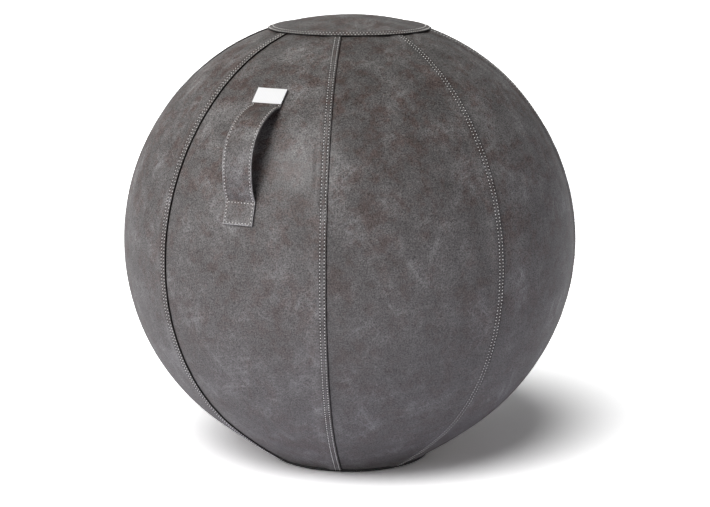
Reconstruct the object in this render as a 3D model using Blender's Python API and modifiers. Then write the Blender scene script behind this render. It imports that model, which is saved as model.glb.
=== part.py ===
"""Sitting ball: an inflated ball in a cover of lapped gores with a round cap, a strap handle,
a base ring to stand on and a zip across the base. Metres, +Z up, origin on the floor under the middle.
The gore with the handle faces -Y. Angles called polar are measured down from the top of the ball."""

import math

import bmesh
import bpy
from mathutils import Vector

# Clearances between pieces that touch, and facet counts of round pieces
CLEARANCE = 0.0003
BALL_FIT = 0.0006
ROUND_STEPS = 40
CAP_STEPS = 48
BALL_STEPS = 24
SMALL_STEPS = 16

# Cover: ball size, gores, lapped seams
BALL_RADIUS = 0.325
PANEL = 0.0015
GORES = 8
UPPER_STEPS = 8
LOWER_STEPS = 7
FIELD_STEPS = 7
SEAM_BAND = 0.013
SEAM_RAMP = 0.003
UNDERLAP = 0.0115
SEAM_PULL = 0.0015

# Cover: where gores dip under the cap, and where they run straight down to their hem at the base ring
TOP_DIP = 0.0015
TOP_DIP_POLAR = math.radians(50.0)
SAG = 0.009
SAG_POLAR = math.radians(142.0)
HEM_RADIUS = 0.117
HEM_HEIGHT = 0.0052
PULL_FADE_POLAR = math.radians(135.0)

# Cap
CAP_EDGE_POLAR = math.radians(20.9)
CAP_DROP = 0.0035
CAP_LAP = 0.0125
CAP_RAMP = 0.003
DOME_STEPS = 4

# Handle strap and its label
STRAP_WIDTH = 0.044
STRAP_THICKNESS = 0.003
STRAP_BOW = 0.0315
STRAP_TURN = math.radians(0.45)
STRAP_TOP_POLAR = math.radians(42.7)
STRAP_RISE_POLAR = math.radians(47.4)
STRAP_LAND_POLAR = math.radians(72.2)
STRAP_END_POLAR = math.radians(77.4)
BOW_STEPS = 14
TAB_STEPS = 2
LABEL_THICKNESS = 0.0006

# Base ring and base panel
RING_WIDTH = 0.0127
RING_HEIGHT = 0.0107
RING_CHAMFER = 0.0022
SLEEVE = 0.0012
SLEEVE_SLOT = 0.002
BASE_PANEL = 0.0022
PANEL_OVERHANG = 0.0015
PANEL_ARC_STEPS = 20

# Zip across the base
ZIP_SLIT = 0.013
TAPE_WIDTH = 0.013
TAPE_THICKNESS = 0.0006
TAPE_TAIL = 0.010
TOOTH_PITCH = 0.0034
TOOTH_REACH = 0.001
TOOTH_ROOT = 0.0009
TOOTH_HEAD = 0.0015
TOOTH_HEIGHT = 0.0022
CHAIN_SPINE = 0.0016
STOP_LENGTH = 0.0025

# Zip slider and its pull
SLIDER_LENGTH = 0.011
SLIDER_PLATE = 0.001
SLIDER_LIP = 0.0015
SLIDER_FLARE = 1.1
POST_WIDTH = 0.002
POST_LENGTH = 0.0032
POST_SETBACK = 0.0006
BAIL_OPENING = 0.005
BAIL_THICKNESS = 0.001
BAIL_LEG = 0.0015
BAIL_WIDTH = 0.0024
PULL_LENGTH = 0.021
PULL_THICKNESS = 0.0014
PULL_ARM = 0.002
PULL_EYE = 0.0056
PULL_TIP_WIDTH = 0.006
PULL_END_GAP = 0.002

# Inner ball and valve
BALL_WALL = 0.0012
VALVE_BARREL_RADIUS = 0.0097
VALVE_FLANGE_RADIUS = 0.016
VALVE_FLANGE = 0.0015
VALVE_LENGTH = 0.017
VALVE_BORE_RADIUS = 0.0043
PLUG_HEAD_RADIUS = 0.008
PLUG_HEAD = 0.0014
PLUG_TAPER = 0.0004

# Sizes that follow from the ones above
GORE_ANGLE = 2 * math.pi / GORES
HEM_REACH = BALL_RADIUS + SAG
HEM_POLAR = math.pi - math.asin(HEM_RADIUS / HEM_REACH)
CENTRE_HEIGHT = HEM_HEIGHT - HEM_REACH * math.cos(HEM_POLAR)
SEAM_LIFT = PANEL + CLEARANCE
CAP_RISE = max(SEAM_LIFT - SEAM_PULL, 0.0) + 2 * CLEARANCE + PANEL
GORE_TOP_POLAR = CAP_EDGE_POLAR - CAP_LAP / BALL_RADIUS
CAP_STEP_POLAR = GORE_TOP_POLAR - 2 * CLEARANCE / BALL_RADIUS
CAP_RAMP_POLAR = CAP_STEP_POLAR - CAP_RAMP / BALL_RADIUS
BASE_Z = RING_HEIGHT + CLEARANCE
BALL_FLAT_Z = BASE_Z + BASE_PANEL + CLEARANCE
TAPE_Z = BASE_Z - CLEARANCE - TAPE_THICKNESS / 2
SPINE_IN = TOOTH_REACH + CLEARANCE
SPINE_OUT = SPINE_IN + CHAIN_SPINE
TAPE_IN = SPINE_OUT + CLEARANCE


def hem_radius():
    """Radius of the base ring's outer wall: it stands just inside the gores' lower ends."""
    hem = cover_radius(HEM_POLAR)
    slope = (cover_radius(HEM_POLAR) - cover_radius(HEM_POLAR - 0.01)) / 0.01
    lean = math.atan2(slope, hem)
    inner = hem * math.sin(HEM_POLAR) - PANEL * math.sin(HEM_POLAR + lean)
    return inner - 2 * CLEARANCE


def smooth(value):
    """Eases from 0 to 1."""
    value = min(max(value, 0.0), 1.0)
    return value * value * (3 - 2 * value)


def cover_radius(polar):
    """Distance from the ball's centre to the outer face of a gore's field, at its middle."""
    radius = BALL_RADIUS
    if polar < TOP_DIP_POLAR:
        radius -= TOP_DIP * ((TOP_DIP_POLAR - polar) / (TOP_DIP_POLAR - CAP_EDGE_POLAR)) ** 2
    if polar > SAG_POLAR:
        radius += SAG * ((polar - SAG_POLAR) / (HEM_POLAR - SAG_POLAR)) ** 2
    return radius


def cap_radius(polar):
    """Distance from the ball's centre to the cap's outer face: a flat dome with a raised, lapped edge."""
    dome = BALL_RADIUS - CAP_DROP * (1 - (polar / CAP_EDGE_POLAR) ** 2)
    lap = cover_radius(polar) + CAP_RISE
    return dome + (lap - dome) * smooth((polar - CAP_RAMP_POLAR) / (CAP_STEP_POLAR - CAP_RAMP_POLAR))


def spread(first, last, steps):
    """Evenly spaced values from first to last."""
    return [first + (last - first) * step / steps for step in range(steps + 1)]


def clear_scene():
    for obj in list(bpy.data.objects):
        bpy.data.objects.remove(obj)
    for name in ("Sitting ball", "Sitting ball cutters"):
        collection = bpy.data.collections.new(name)
        bpy.context.scene.collection.children.link(collection)
    return bpy.data.collections["Sitting ball"], bpy.data.collections["Sitting ball cutters"]


def linear(hex_colour):
    """Linear colour of an sRGB hex value."""
    levels = [int(hex_colour[at : at + 2], 16) / 255 for at in (0, 2, 4)]
    return [v / 12.92 if v <= 0.04045 else ((v + 0.055) / 1.055) ** 2.4 for v in levels] + [1.0]


def finish(name, hex_colour, roughness, metallic=0.0):
    material = bpy.data.materials.new(name)
    material.use_nodes = True
    shader = material.node_tree.nodes["Principled BSDF"]
    shader.inputs["Base Color"].default_value = linear(hex_colour)
    shader.inputs["Roughness"].default_value = roughness
    shader.inputs["Metallic"].default_value = metallic
    return material


PARTS, CUTTERS = clear_scene()
FAUX_LEATHER = finish("faux_leather", "625C5A", 0.62)
LABEL_CLOTH = finish("label_cloth", "F1F0EE", 0.8)
BASE_CLOTH = finish("base_cloth", "1E1C1C", 0.85)
TAPE_CLOTH = finish("tape_cloth", "222021", 0.9)
RING_PLASTIC = finish("ring_plastic", "2B2A2A", 0.5)
BALL_VINYL = finish("ball_vinyl", "6E7073", 0.45)
VALVE_VINYL = finish("valve_vinyl", "D9D8D2", 0.4)
ZIP_RESIN = finish("zip_resin", "1B1A1A", 0.35)
SLIDER_METAL = finish("slider_metal", "3A3938", 0.35, 1.0)


def add_object(name, data, material, parent=None, location=(0.0, 0.0, 0.0), collection=PARTS):
    obj = bpy.data.objects.new(name, data)
    if not data.materials:
        data.materials.append(material)
    obj.parent = parent
    obj.location = location
    collection.objects.link(obj)
    return obj


def add_centre():
    """Empty at the ball's centre: the cover's pieces and the inner ball hang on it."""
    centre = bpy.data.objects.new("ball_centre", None)
    centre.location = (0.0, 0.0, CENTRE_HEIGHT)
    PARTS.objects.link(centre)
    return centre


def shade(mesh, angle=40.0):
    mesh.shade_smooth()
    mesh.set_sharp_from_angle(angle=math.radians(angle))


def solidify(obj, thickness, outward=False):
    wall = obj.modifiers.new("wall", "SOLIDIFY")
    wall.thickness = thickness
    wall.offset = 1.0 if outward else -1.0
    wall.use_even_offset = True


def mapped_grid(name, columns, rows, place):
    """Grid mesh whose point at (column, row) is put where place says; rows run upwards seen from outside."""
    bm = bmesh.new()
    bmesh.ops.create_grid(bm, x_segments=columns, y_segments=rows, size=1.0)
    for vertex in bm.verts:
        column = round((vertex.co.x + 1) / 2 * columns)
        row = round((vertex.co.y + 1) / 2 * rows)
        vertex.co = place(column, row)
    mesh = bpy.data.meshes.new(name)
    bm.to_mesh(mesh)
    bm.free()
    shade(mesh)
    return mesh


def on_ball(radius, polar, bearing):
    """Point at a bearing measured from -Y towards +X, about the ball's centre."""
    flat = radius * math.sin(polar)
    return Vector((flat * math.sin(bearing), -flat * math.cos(bearing), radius * math.cos(polar)))


def turned(name, profile, steps, material, parent=None, location=(0.0, 0.0, 0.0), closed=True):
    """Turned piece from (radius, height) points that run down the outer side."""
    bm = bmesh.new()
    points = [bm.verts.new((radius, 0.0, height)) for radius, height in profile]
    for start, end in zip(points, points[1:]):
        bm.edges.new((start, end))
    if closed:
        bm.edges.new((points[-1], points[0]))
    mesh = bpy.data.meshes.new(name)
    bm.to_mesh(mesh)
    bm.free()
    obj = add_object(name, mesh, material, parent, location)
    turn = obj.modifiers.new("turn", "SCREW")
    turn.steps = turn.render_steps = steps
    turn.use_merge_vertices = True
    turn.merge_threshold = 0.00001
    turn.use_smooth_shade = True
    return obj


def flat_piece(name, outlines, bottom, thickness, material, parent=None, location=(0.0, 0.0, 0.0)):
    """Flat piece cut to its outlines, (x, y) points, with its lower face at the given height."""
    curve = bpy.data.curves.new(name, "CURVE")
    curve.dimensions = "2D"
    curve.fill_mode = "BOTH"
    curve.extrude = thickness / 2
    for outline in outlines:
        spline = curve.splines.new("POLY")
        spline.points.add(len(outline) - 1)
        for point, (x, y) in zip(spline.points, outline):
            point.co = (x, y, 0.0, 1.0)
        spline.use_cyclic_u = True
    place = Vector(location) + Vector((0.0, 0.0, bottom + thickness / 2))
    return add_object(name, curve, material, parent, place)


def box_outline(low_x, low_y, high_x, high_y):
    return [(low_x, low_y), (high_x, low_y), (high_x, high_y), (low_x, high_y)]


def gore_polars():
    """Polar angles of the gores' rows, from under the cap to the equator and down to the hem."""
    equator = math.pi / 2
    return spread(GORE_TOP_POLAR, equator, UPPER_STEPS) + spread(equator, HEM_POLAR, LOWER_STEPS)[1:]


def gore_mesh():
    """One gore: an underlap on its left edge, a slightly crowned field, and a raised band on its right
    edge that laps over the next gore's underlap."""
    polars = gore_polars()[::-1]
    columns = FIELD_STEPS + 3

    def place(column, row):
        polar = polars[row]
        arc_radius = BALL_RADIUS * math.sin(polar)
        width = GORE_ANGLE * arc_radius
        field = width - SEAM_BAND - SEAM_RAMP
        if column == 0:
            along, raised = -UNDERLAP, 0.0
        elif column <= FIELD_STEPS + 1:
            along, raised = field * (column - 1) / FIELD_STEPS, 0.0
        else:
            along, raised = field + SEAM_RAMP + SEAM_BAND * (column - FIELD_STEPS - 2), SEAM_LIFT
        across = min(max(along / field, 0.0), 1.0)
        crown = 4 * across * (1 - across)
        fade = 1 - smooth((polar - PULL_FADE_POLAR) / (HEM_POLAR - PULL_FADE_POLAR))
        radius = cover_radius(polar) - SEAM_PULL * fade * (1 - crown) + raised
        return on_ball(radius, polar, along / arc_radius - GORE_ANGLE / 2)

    return mapped_grid("gore", columns, len(polars) - 1, place)


def add_gores(centre):
    mesh = gore_mesh()
    for number in range(GORES):
        gore = add_object(f"gore_panel_{number + 1}", mesh, FAUX_LEATHER, centre)
        gore.rotation_euler.z = number * GORE_ANGLE
        solidify(gore, PANEL)


def add_cap(centre):
    polars = spread(0.0, CAP_RAMP_POLAR, DOME_STEPS) + [CAP_STEP_POLAR, CAP_EDGE_POLAR]
    outer = [(cap_radius(p) * math.sin(p), cap_radius(p) * math.cos(p)) for p in polars]
    inner = [((cap_radius(p) - PANEL) * math.sin(p), (cap_radius(p) - PANEL) * math.cos(p)) for p in polars]
    turned("top_cap", outer + inner[::-1], CAP_STEPS, FAUX_LEATHER, centre, closed=False)


def strap_polars():
    upper = spread(STRAP_TOP_POLAR, STRAP_RISE_POLAR, TAB_STEPS)
    bow = spread(STRAP_RISE_POLAR, STRAP_LAND_POLAR, BOW_STEPS)
    lower = spread(STRAP_LAND_POLAR, STRAP_END_POLAR, TAB_STEPS)
    return upper + bow[1:] + lower[1:]


def label_polars():
    """The label covers the strap's upper tab and ends just before the strap bends outwards."""
    bend = (STRAP_THICKNESS / 2 + CLEARANCE) / BALL_RADIUS
    return spread(STRAP_TOP_POLAR, STRAP_RISE_POLAR - bend, TAB_STEPS)


def strap_place(polars, lift, columns):
    """Places a strip along the handle: its ends hug the ball, and the stretch between bows out flat."""
    rows = polars[::-1]

    def place(column, row):
        polar = rows[row]
        part = (polar - STRAP_RISE_POLAR) / (STRAP_LAND_POLAR - STRAP_RISE_POLAR)
        bow = math.sin(math.pi * min(max(part, 0.0), 1.0))
        radius = cover_radius(polar) + lift + STRAP_BOW * bow
        side = STRAP_WIDTH * (column / columns - 0.5)
        hugging = on_ball(radius, polar, side / (radius * math.sin(polar)))
        flat = Vector((side, -radius * math.sin(polar), radius * math.cos(polar)))
        return hugging.lerp(flat, min(3 * bow, 1.0))

    return place


def add_handle(centre):
    columns = 2
    polars = strap_polars()
    seat = 2 * CLEARANCE
    mesh = mapped_grid("handle_strap", columns, len(polars) - 1, strap_place(polars, seat, columns))
    strap = add_object("handle_strap", mesh, FAUX_LEATHER, centre)
    strap.rotation_euler.z = STRAP_TURN
    solidify(strap, STRAP_THICKNESS, outward=True)
    lift = seat + STRAP_THICKNESS + CLEARANCE
    polars = label_polars()
    mesh = mapped_grid("handle_label", columns, len(polars) - 1, strap_place(polars, lift, columns))
    label = add_object("handle_label", mesh, LABEL_CLOTH, centre)
    label.rotation_euler.z = STRAP_TURN
    solidify(label, LABEL_THICKNESS, outward=True)


def chamfered(low_r, low_z, high_r, high_z, chamfer):
    """Corner points of a chamfered section, from its top outer corner down and round to its top inner one."""
    return [
        (high_r - chamfer, high_z),
        (high_r, high_z - chamfer),
        (high_r, low_z + chamfer),
        (high_r - chamfer, low_z),
        (low_r + chamfer, low_z),
        (low_r, low_z + chamfer),
        (low_r, high_z - chamfer),
        (low_r + chamfer, high_z),
    ]


def add_base_ring():
    outer = hem_radius()
    inner = outer - RING_WIDTH
    middle = (outer + inner) / 2
    path = chamfered(inner, 0.0, outer, RING_HEIGHT, RING_CHAMFER)
    path = [(middle + SLEEVE_SLOT / 2, RING_HEIGHT)] + path + [(middle - SLEEVE_SLOT / 2, RING_HEIGHT)]
    sleeve = turned("base_ring_sleeve", path, ROUND_STEPS, BASE_CLOTH, closed=False)
    solidify(sleeve, SLEEVE)
    inset = SLEEVE + CLEARANCE
    core = chamfered(inner + inset, inset, outer - inset, RING_HEIGHT - inset, RING_CHAMFER - inset / 3)
    turned("base_ring_core", core, ROUND_STEPS, RING_PLASTIC)
    return outer, inner


def add_base_panels(ring_outer):
    """Two half discs that meet the zip along their straight edges and rest on the ring by their rims."""
    radius = ring_outer - PANEL_OVERHANG
    start = math.asin(ZIP_SLIT / 2 / radius)
    for name, turn in (("base_panel_right", 0.0), ("base_panel_left", math.pi)):
        angles = spread(start - math.pi / 2, math.pi / 2 - start, PANEL_ARC_STEPS)
        outline = [(radius * math.cos(a), radius * math.sin(a)) for a in angles]
        panel = flat_piece(name, [outline], BASE_Z, BASE_PANEL, BASE_CLOTH)
        panel.rotation_euler.z = turn


def zip_layout(ring_inner):
    """Where the zip's pieces lie along Y, closed: slider at the -Y end, bottom stop at the +Y end."""
    reach = ring_inner - PULL_LENGTH - PULL_END_GAP
    slider = -reach
    post = slider - SLIDER_LENGTH / 2 + POST_SETBACK + POST_LENGTH / 2
    return {
        "slider": slider,
        "post": post,
        "chain_start": post + POST_LENGTH / 2 + CLEARANCE,
        "chain_end": reach + SLIDER_LENGTH / 2 + CLEARANCE,
        "top_stop": slider - SLIDER_LENGTH / 2 - CLEARANCE - STOP_LENGTH,
    }


def add_chain(name, side, start, end, shift):
    """Comb of one zip half: a spine cut into cells, with a dovetail tooth drawn out of every other cell
    past the middle line. side is -1 for the half at -X and 1 for the one at +X."""
    teeth = int((end - start) / TOOTH_PITCH - 0.5)
    middles = [start + (tooth + 0.5 + shift) * TOOTH_PITCH for tooth in range(teeth)]
    cuts = [start] + [middle + half for middle in middles for half in (-TOOTH_ROOT / 2, TOOTH_ROOT / 2)] + [end]
    edges = (-SPINE_OUT, -SPINE_IN) if side < 0 else (SPINE_IN, SPINE_OUT)
    mesh = mapped_grid(name, 1, len(cuts) - 1, lambda column, row: (edges[column], cuts[row], 0.0))
    bm = bmesh.new()
    bm.from_mesh(mesh)
    inner = [edge for edge in bm.edges if all(abs(abs(v.co.x) - SPINE_IN) < CLEARANCE for v in edge.verts)]
    inner.sort(key=lambda edge: sum(v.co.y for v in edge.verts))
    drawn = bmesh.ops.extrude_edge_only(bm, edges=inner[1::2])
    for vertex in drawn["geom"]:
        if isinstance(vertex, bmesh.types.BMVert):
            middle = min(middles, key=lambda at: abs(at - vertex.co.y))
            vertex.co.x = -side * TOOTH_REACH
            vertex.co.y = middle + math.copysign(TOOTH_HEAD / 2, vertex.co.y - middle)
    bm.to_mesh(mesh)
    bm.free()
    chain = add_object(name, mesh, ZIP_RESIN, location=(0.0, 0.0, TAPE_Z + TOOTH_HEIGHT / 2))
    solidify(chain, TOOTH_HEIGHT)


def mirrored(outline):
    return [(-x, y) for x, y in outline]


def add_zip_rows(layout):
    start, end = layout["chain_start"], layout["chain_end"]
    chain_bottom = TAPE_Z - TOOTH_HEIGHT / 2
    add_chain("zip_chain_left", -1, start, end, 0.0)
    add_chain("zip_chain_right", 1, start, end, 0.5)
    tape = box_outline(-TAPE_IN - TAPE_WIDTH, layout["top_stop"] - TAPE_TAIL / 2, -TAPE_IN, end + TAPE_TAIL)
    tape_bottom = TAPE_Z - TAPE_THICKNESS / 2
    flat_piece("zip_tape_left", [tape], tape_bottom, TAPE_THICKNESS, TAPE_CLOTH)
    flat_piece("zip_tape_right", [mirrored(tape)], tape_bottom, TAPE_THICKNESS, TAPE_CLOTH)
    stop = box_outline(-SPINE_OUT, layout["top_stop"], -SPINE_IN + CLEARANCE, layout["top_stop"] + STOP_LENGTH)
    flat_piece("zip_top_stop_left", [stop], chain_bottom, TOOTH_HEIGHT, ZIP_RESIN)
    flat_piece("zip_top_stop_right", [mirrored(stop)], chain_bottom, TOOTH_HEIGHT, ZIP_RESIN)
    stop_start = end + CLEARANCE
    box = box_outline(-SPINE_OUT, stop_start, SPINE_OUT, stop_start + STOP_LENGTH)
    flat_piece("zip_bottom_stop", [box], chain_bottom, TOOTH_HEIGHT, ZIP_RESIN)


def slider_half(name, side, collection, material):
    """One plate of the slider with its two lips, swept along Y and flared towards the throat end.
    side is 1 for the plate above the tape and -1 for the one below."""
    face = TOOTH_HEIGHT / 2 + CLEARANCE
    lip_face = TAPE_THICKNESS / 2 + CLEARANCE
    lip_in = TAPE_IN + CLEARANCE
    lip_out = lip_in + SLIDER_LIP
    section = [
        (-lip_out, face + SLIDER_PLATE),
        (-lip_out, lip_face),
        (-lip_in, lip_face),
        (-lip_in, face),
        (lip_in, face),
        (lip_in, lip_face),
        (lip_out, lip_face),
        (lip_out, face + SLIDER_PLATE),
    ]
    bm = bmesh.new()
    rear = [bm.verts.new((x, SLIDER_LENGTH / 2, side * z)) for x, z in section]
    swept = bmesh.ops.extrude_face_region(bm, geom=[bm.faces.new(rear)])
    for item in swept["geom"]:
        if isinstance(item, bmesh.types.BMVert):
            item.co.y -= SLIDER_LENGTH
            item.co.x *= SLIDER_FLARE
    bmesh.ops.recalc_face_normals(bm, faces=bm.faces)
    mesh = bpy.data.meshes.new(name)
    bm.to_mesh(mesh)
    bm.free()
    return add_object(name, mesh, material, collection=collection)


def add_slider(layout):
    """Slider: two plates joined by a wedge post, with a bail under the lower plate for the pull."""
    place = (0.0, layout["slider"], TAPE_Z)
    slider = slider_half("zip_slider", -1, PARTS, SLIDER_METAL)
    slider.location = place
    others = [slider_half("slider_top_plate", 1, CUTTERS, SLIDER_METAL)]
    others[0].location = place
    post_height = TOOTH_HEIGHT + 2 * CLEARANCE + SLIDER_PLATE
    half_y, half_x = POST_LENGTH / 2, POST_WIDTH / 2
    diamond = [(0.0, -half_y), (half_x, 0.0), (0.0, half_y), (-half_x, 0.0)]
    others.append(prism("slider_post", diamond, post_height, (0.0, layout["post"], TAPE_Z)))
    drop, height = bail_sizes()
    inside = BAIL_OPENING / 2
    outside = inside + BAIL_LEG
    sunk = SLIDER_PLATE / 2
    arch = [
        (-outside, sunk),
        (-outside, -height),
        (outside, -height),
        (outside, sunk),
        (inside, sunk),
        (inside, BAIL_THICKNESS - height),
        (-inside, BAIL_THICKNESS - height),
        (-inside, sunk),
    ]
    under = TAPE_Z - TOOTH_HEIGHT / 2 - CLEARANCE - SLIDER_PLATE
    bail = prism("slider_bail", arch, BAIL_WIDTH, (0.0, layout["slider"], under))
    bail.rotation_euler = (math.pi / 2, 0.0, math.pi / 2)
    others.append(bail)
    for other in others:
        other.hide_render = True
        other.display_type = "WIRE"
        join = slider.modifiers.new(other.name, "BOOLEAN")
        join.operation = "UNION"
        join.object = other
    return slider, under - drop


def bail_sizes():
    """How far under the slider the pull's axis lies, and how far down the bail reaches."""
    bar = PULL_THICKNESS / math.sqrt(2)
    drop = bar + CLEARANCE
    return drop, drop + bar + CLEARANCE + BAIL_THICKNESS


def prism(name, outline, height, location):
    """Straight prism centred on its height, for joining to another piece."""
    bm = bmesh.new()
    face = bm.faces.new([bm.verts.new((x, y, -height / 2)) for x, y in outline])
    top = bmesh.ops.extrude_face_region(bm, geom=[face])
    for item in top["geom"]:
        if isinstance(item, bmesh.types.BMVert):
            item.co.z += height
    bmesh.ops.recalc_face_normals(bm, faces=bm.faces)
    mesh = bpy.data.meshes.new(name)
    bm.to_mesh(mesh)
    bm.free()
    return add_object(name, mesh, SLIDER_METAL, None, location, CUTTERS)


def add_pull(slider, axis_height):
    """Pull: a tapered tongue whose end bar turns in the slider's bail. Its origin is on that bar's axis."""
    bar = PULL_THICKNESS / 2
    eye_half = BAIL_WIDTH / 2 + CLEARANCE
    half = eye_half + PULL_ARM
    tip = PULL_TIP_WIDTH / 2
    corner = tip / 2
    outer = [
        (-half, -bar),
        (half, -bar),
        (half, PULL_EYE + PULL_ARM),
        (tip, PULL_LENGTH - corner),
        (tip - corner, PULL_LENGTH),
        (corner - tip, PULL_LENGTH),
        (-tip, PULL_LENGTH - corner),
        (-half, PULL_EYE + PULL_ARM),
    ]
    eye = box_outline(-eye_half, bar, eye_half, PULL_EYE)
    pull = flat_piece("zip_pull", [outer, eye], -PULL_THICKNESS / 2, PULL_THICKNESS, SLIDER_METAL, slider)
    pull.location = (0.0, 0.0, axis_height - TAPE_Z)


def ball_profile():
    """Section of the inner ball, from its top down its outer face to the valve hole and back inside."""
    inset = SEAM_PULL + PANEL + BALL_FIT

    def radius(polar):
        if polar < GORE_TOP_POLAR:
            return cap_radius(polar) - PANEL - inset
        return min(cover_radius(polar), BALL_RADIUS) - inset

    flat = BALL_FLAT_Z - CENTRE_HEIGHT
    rim = math.pi - math.acos(-flat / (BALL_RADIUS - inset))
    polars = spread(0.0, GORE_TOP_POLAR, 2)[:-1] + [p for p in gore_polars() if p < rim] + [rim]
    outer = [(radius(p) * math.sin(p), radius(p) * math.cos(p)) for p in polars]
    inner = [((radius(p) - BALL_WALL) * math.sin(p), (radius(p) - BALL_WALL) * math.cos(p)) for p in polars[:-1]]
    inner.append((outer[-1][0] - 2 * BALL_WALL, flat + BALL_WALL))
    hole = VALVE_BARREL_RADIUS + CLEARANCE
    return outer + [(hole, flat), (hole, flat + BALL_WALL)] + inner[::-1]


def add_inner_ball(centre):
    turned("inner_ball", ball_profile(), BALL_STEPS, BALL_VINYL, centre, closed=False)


def add_valve():
    """Valve collar, welded to the inside of the ball over the zip, and the plug pressed into it."""
    seat = BALL_FLAT_Z + BALL_WALL + CLEARANCE
    top = BALL_FLAT_Z + VALVE_LENGTH
    recess = PLUG_HEAD_RADIUS + CLEARANCE
    recess_top = BALL_FLAT_Z + PLUG_HEAD + 2 * CLEARANCE
    barrel = (VALVE_BARREL_RADIUS + VALVE_BORE_RADIUS) / 2
    collar = [
        (barrel, top),
        (barrel, seat + VALVE_FLANGE),
        (VALVE_FLANGE_RADIUS, seat + VALVE_FLANGE),
        (VALVE_FLANGE_RADIUS, seat),
        (VALVE_BARREL_RADIUS, seat),
        (VALVE_BARREL_RADIUS, BALL_FLAT_Z),
        (recess, BALL_FLAT_Z),
        (recess, recess_top),
        (VALVE_BORE_RADIUS, recess_top),
        (VALVE_BORE_RADIUS, top),
    ]
    turned("valve_collar", collar, SMALL_STEPS, VALVE_VINYL)
    stem = VALVE_BORE_RADIUS - CLEARANCE
    head_bottom = BALL_FLAT_Z + CLEARANCE
    head_top = head_bottom + PLUG_HEAD
    plug = [
        (0.0, top),
        (stem - PLUG_TAPER, top),
        (stem, head_top),
        (PLUG_HEAD_RADIUS, head_top),
        (PLUG_HEAD_RADIUS, head_bottom),
        (0.0, head_bottom),
    ]
    turned("valve_plug", plug, SMALL_STEPS, VALVE_VINYL, closed=False)


ball_centre = add_centre()
add_gores(ball_centre)
add_cap(ball_centre)
add_handle(ball_centre)
ring_outer, ring_inner = add_base_ring()
add_base_panels(ring_outer)
zip_places = zip_layout(ring_inner)
add_zip_rows(zip_places)
zip_slider, pull_height = add_slider(zip_places)
add_pull(zip_slider, pull_height)
add_inner_ball(ball_centre)
add_valve()
print(f"slider travel {-2 * zip_places['slider']:.5f} m, pull axis at y {zip_places['slider']:.5f} z {pull_height:.5f}")
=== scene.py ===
"""Sitting ball, dressed: an inflated ball in a cover of aged faux leather, sewn from eight lapped gores and a
round cap, with a strap handle, a ring to stand on and a zip across the base. Metres, +Z up, front at -Y.
Polar angles are measured down from the top of the ball, bearings from the front towards +X."""

import math
import random

import bmesh
import bpy
from mathutils import Matrix, Vector, noise


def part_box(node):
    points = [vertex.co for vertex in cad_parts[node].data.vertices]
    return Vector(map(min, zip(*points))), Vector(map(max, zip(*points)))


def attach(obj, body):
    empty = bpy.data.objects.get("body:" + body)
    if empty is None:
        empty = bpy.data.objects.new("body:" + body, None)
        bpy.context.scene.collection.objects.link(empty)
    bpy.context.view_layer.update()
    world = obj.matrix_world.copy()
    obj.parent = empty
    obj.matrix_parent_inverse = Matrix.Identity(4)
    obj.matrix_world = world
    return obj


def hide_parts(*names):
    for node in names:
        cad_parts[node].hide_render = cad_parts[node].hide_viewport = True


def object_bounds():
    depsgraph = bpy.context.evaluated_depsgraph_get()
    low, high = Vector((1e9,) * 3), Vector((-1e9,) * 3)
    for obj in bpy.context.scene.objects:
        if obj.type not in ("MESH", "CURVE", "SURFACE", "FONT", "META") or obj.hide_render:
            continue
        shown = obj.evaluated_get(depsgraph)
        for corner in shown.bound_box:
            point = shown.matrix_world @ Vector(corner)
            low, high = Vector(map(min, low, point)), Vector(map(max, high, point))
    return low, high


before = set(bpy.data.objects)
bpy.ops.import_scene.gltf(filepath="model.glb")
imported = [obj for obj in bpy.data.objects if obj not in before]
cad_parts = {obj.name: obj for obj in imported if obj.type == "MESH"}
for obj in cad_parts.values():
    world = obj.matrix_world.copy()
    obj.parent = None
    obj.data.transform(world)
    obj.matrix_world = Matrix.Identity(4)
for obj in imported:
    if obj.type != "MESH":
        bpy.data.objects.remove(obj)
cad_low, cad_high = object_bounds()


# The inflated ball is one hollow skin of grey vinyl, moulded in one go and blown up until it fills the cover.
# It follows the inside of the gores and the cap, and stands flat on the base panel with its valve hole there.
BALL_RADIUS = 0.325
LEATHER_THICKNESS = 0.0015
TOP_DIP = 0.0015
TOP_DIP_POLAR = math.radians(50.0)
SAG = 0.009
SAG_POLAR = math.radians(142.0)
HEM_RADIUS = 0.117
HEM_HEIGHT = 0.0052
HEM_REACH = BALL_RADIUS + SAG
HEM_POLAR = math.pi - math.asin(HEM_RADIUS / HEM_REACH)
CENTRE = Vector((0.0, 0.0, HEM_HEIGHT - HEM_REACH * math.cos(HEM_POLAR)))
CAP_EDGE_POLAR = math.radians(20.9)
CAP_DROP = 0.0035
CAP_RISE = 0.0024
CAP_RAMP_INSET = 0.0161
CAP_STEP_INSET = 0.0131
CAP_RAMP_POLAR = CAP_EDGE_POLAR - CAP_RAMP_INSET / BALL_RADIUS
CAP_STEP_POLAR = CAP_EDGE_POLAR - CAP_STEP_INSET / BALL_RADIUS
SKIN_INSET = 0.0048
SKIN_WALL = 0.0012
SKIN_STEPS = 72
SKIN_TURNS = 120
BALL_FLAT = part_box("inner_ball")[0].z
VALVE_HOLE = 0.01
MERGE_DISTANCE = 1e-6


def smooth(value):
    """Eases from 0 to 1."""
    value = min(max(value, 0.0), 1.0)
    return value * value * (3 - 2 * value)


def spread(first, last, steps):
    """Evenly spaced values from first to last."""
    return [first + (last - first) * step / steps for step in range(steps + 1)]


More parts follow.
